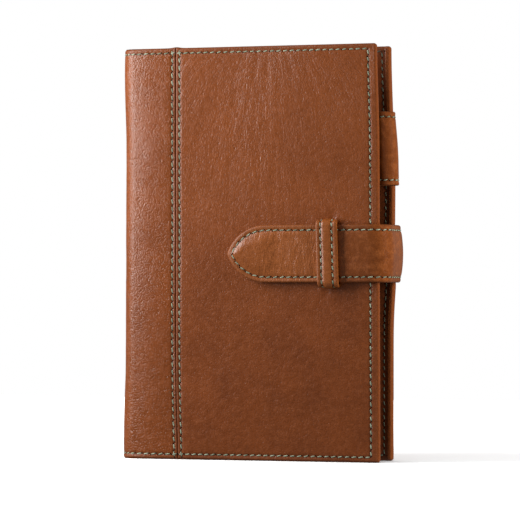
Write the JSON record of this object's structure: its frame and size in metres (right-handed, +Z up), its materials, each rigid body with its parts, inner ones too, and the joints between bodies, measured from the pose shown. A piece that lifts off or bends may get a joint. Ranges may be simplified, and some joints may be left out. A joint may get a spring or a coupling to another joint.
{
  "type": "leather notebook cover",
  "caption": "Tan leather notebook cover that folds at a soft spine, with inner sleeves, a pen loop and a strap whose tongue passes under a sewn keeper.",
  "frame": {"origin": "middle of the closed cover's box, on the surface that its lower edges stand on", "axes": "+X from the spine to the fore-edge, -Y out of the front cover, +Z up the cover"},
  "size_m": [0.1343, 0.0314, 0.195],
  "materials": {
    "panel_leather": "smooth, soft sheen",
    "spine_leather": "pebbled grain",
    "strap_leather": "smooth, edge-painted",
    "lining_leather": "matt",
    "thread": "waxed thread",
    "board": "matt"
  },
  "bodies": {
    "back_cover": {"back_panel": "panel_leather", "back_spine_strip": "spine_leather", "back_board": "board", "back_lining": "lining_leather", "back_sleeve": "lining_leather", "back_edge_stitching": "thread", "back_inner_stitching": "thread", "back_seam_stitching": "thread", "back_fold": "spine_leather", "back_fold_lining": "lining_leather", "base_skin": "strap_leather", "base_lining": "lining_leather", "base_stitching": "thread", "web_skin": "strap_leather", "web_lining": "lining_leather", "pen_loop_tab": "strap_leather"},
    "spine": {"spine_panel": "spine_leather", "spine_lining": "lining_leather", "spine_stitching": "thread", "front_fold": "spine_leather", "front_fold_lining": "lining_leather"},
    "front_cover": {"front_panel": "panel_leather", "front_spine_strip": "spine_leather", "front_board": "board", "front_lining": "lining_leather", "front_sleeve": "lining_leather", "front_edge_stitching": "thread", "front_inner_stitching": "thread", "front_seam_stitching": "thread", "keeper_skin": "strap_leather", "keeper_lining": "lining_leather", "keeper_stitching": "thread"},
    "strap_heel": {"back_bend_skin": "strap_leather", "back_bend_lining": "lining_leather"},
    "strap_bow": {"bow_skin": "strap_leather", "bow_lining": "lining_leather", "front_bend_skin": "strap_leather", "front_bend_lining": "lining_leather"},
    "strap_front": {"strap_skin": "strap_leather", "strap_lining": "lining_leather", "strap_stitching": "thread"},
    "strap_tongue": {"tongue_skin": "strap_leather", "tongue_core": "board", "tongue_lining": "lining_leather", "tongue_stitching": "thread"},
    "pen_loop": {"pen_loop_skin": "strap_leather", "pen_loop_lining": "lining_leather", "pen_loop_stitching": "thread"}
  },
  "joints": [
    {"name": "spine_fold", "type": "hinge", "parent": "back_cover", "child": "spine", "pos_m": [-0.0642, 0.01002, 0.0975], "axis": [0, 0, -1], "range_deg": [0, 90], "deforming": ["back_fold", "back_fold_lining"]},
    {"name": "cover_fold", "type": "hinge", "parent": "spine", "child": "front_cover", "pos_m": [-0.0642, -0.00777, 0.0975], "axis": [0, 0, -1], "range_deg": [0, 90], "deforming": ["front_fold", "front_fold_lining"]},
    {"name": "strap_draw", "type": "slide", "parent": "back_cover", "child": "strap_heel", "axis": [1, 0, 0], "range_m": [0, 0.029], "deforming": ["web_skin", "web_lining"]},
    {"name": "strap_turn", "type": "hinge", "parent": "strap_heel", "child": "strap_bow", "pos_m": [0.06484, 0.01331, 0.0972], "axis": [0, 0, 1], "range_deg": [0, 90], "deforming": ["back_bend_skin", "back_bend_lining"]},
    {"name": "strap_lift", "type": "hinge", "parent": "strap_bow", "child": "strap_front", "pos_m": [0.06484, -0.01106, 0.0972], "axis": [0, 0, 1], "range_deg": [0, 90], "deforming": ["front_bend_skin", "front_bend_lining"]},
    {"name": "strap_feed", "type": "slide", "parent": "strap_front", "child": "strap_tongue", "axis": [1, 0, 0], "range_m": [0, 0.029], "deforming": ["strap_skin", "strap_lining", "strap_stitching", "tongue_skin", "tongue_core", "tongue_lining", "tongue_stitching"]},
    {"name": "pen_loop_swing", "type": "hinge", "parent": "back_cover", "child": "pen_loop", "pos_m": [0.0615, 0.00833, 0.14625], "axis": [0, 0, 1], "range_deg": [0, 90]}
  ],
  "couplings": [
    {"joint": "strap_lift", "follows": "strap_turn", "ratio": 1},
    {"joint": "strap_feed", "follows": "strap_draw", "ratio": 1}
  ]
}
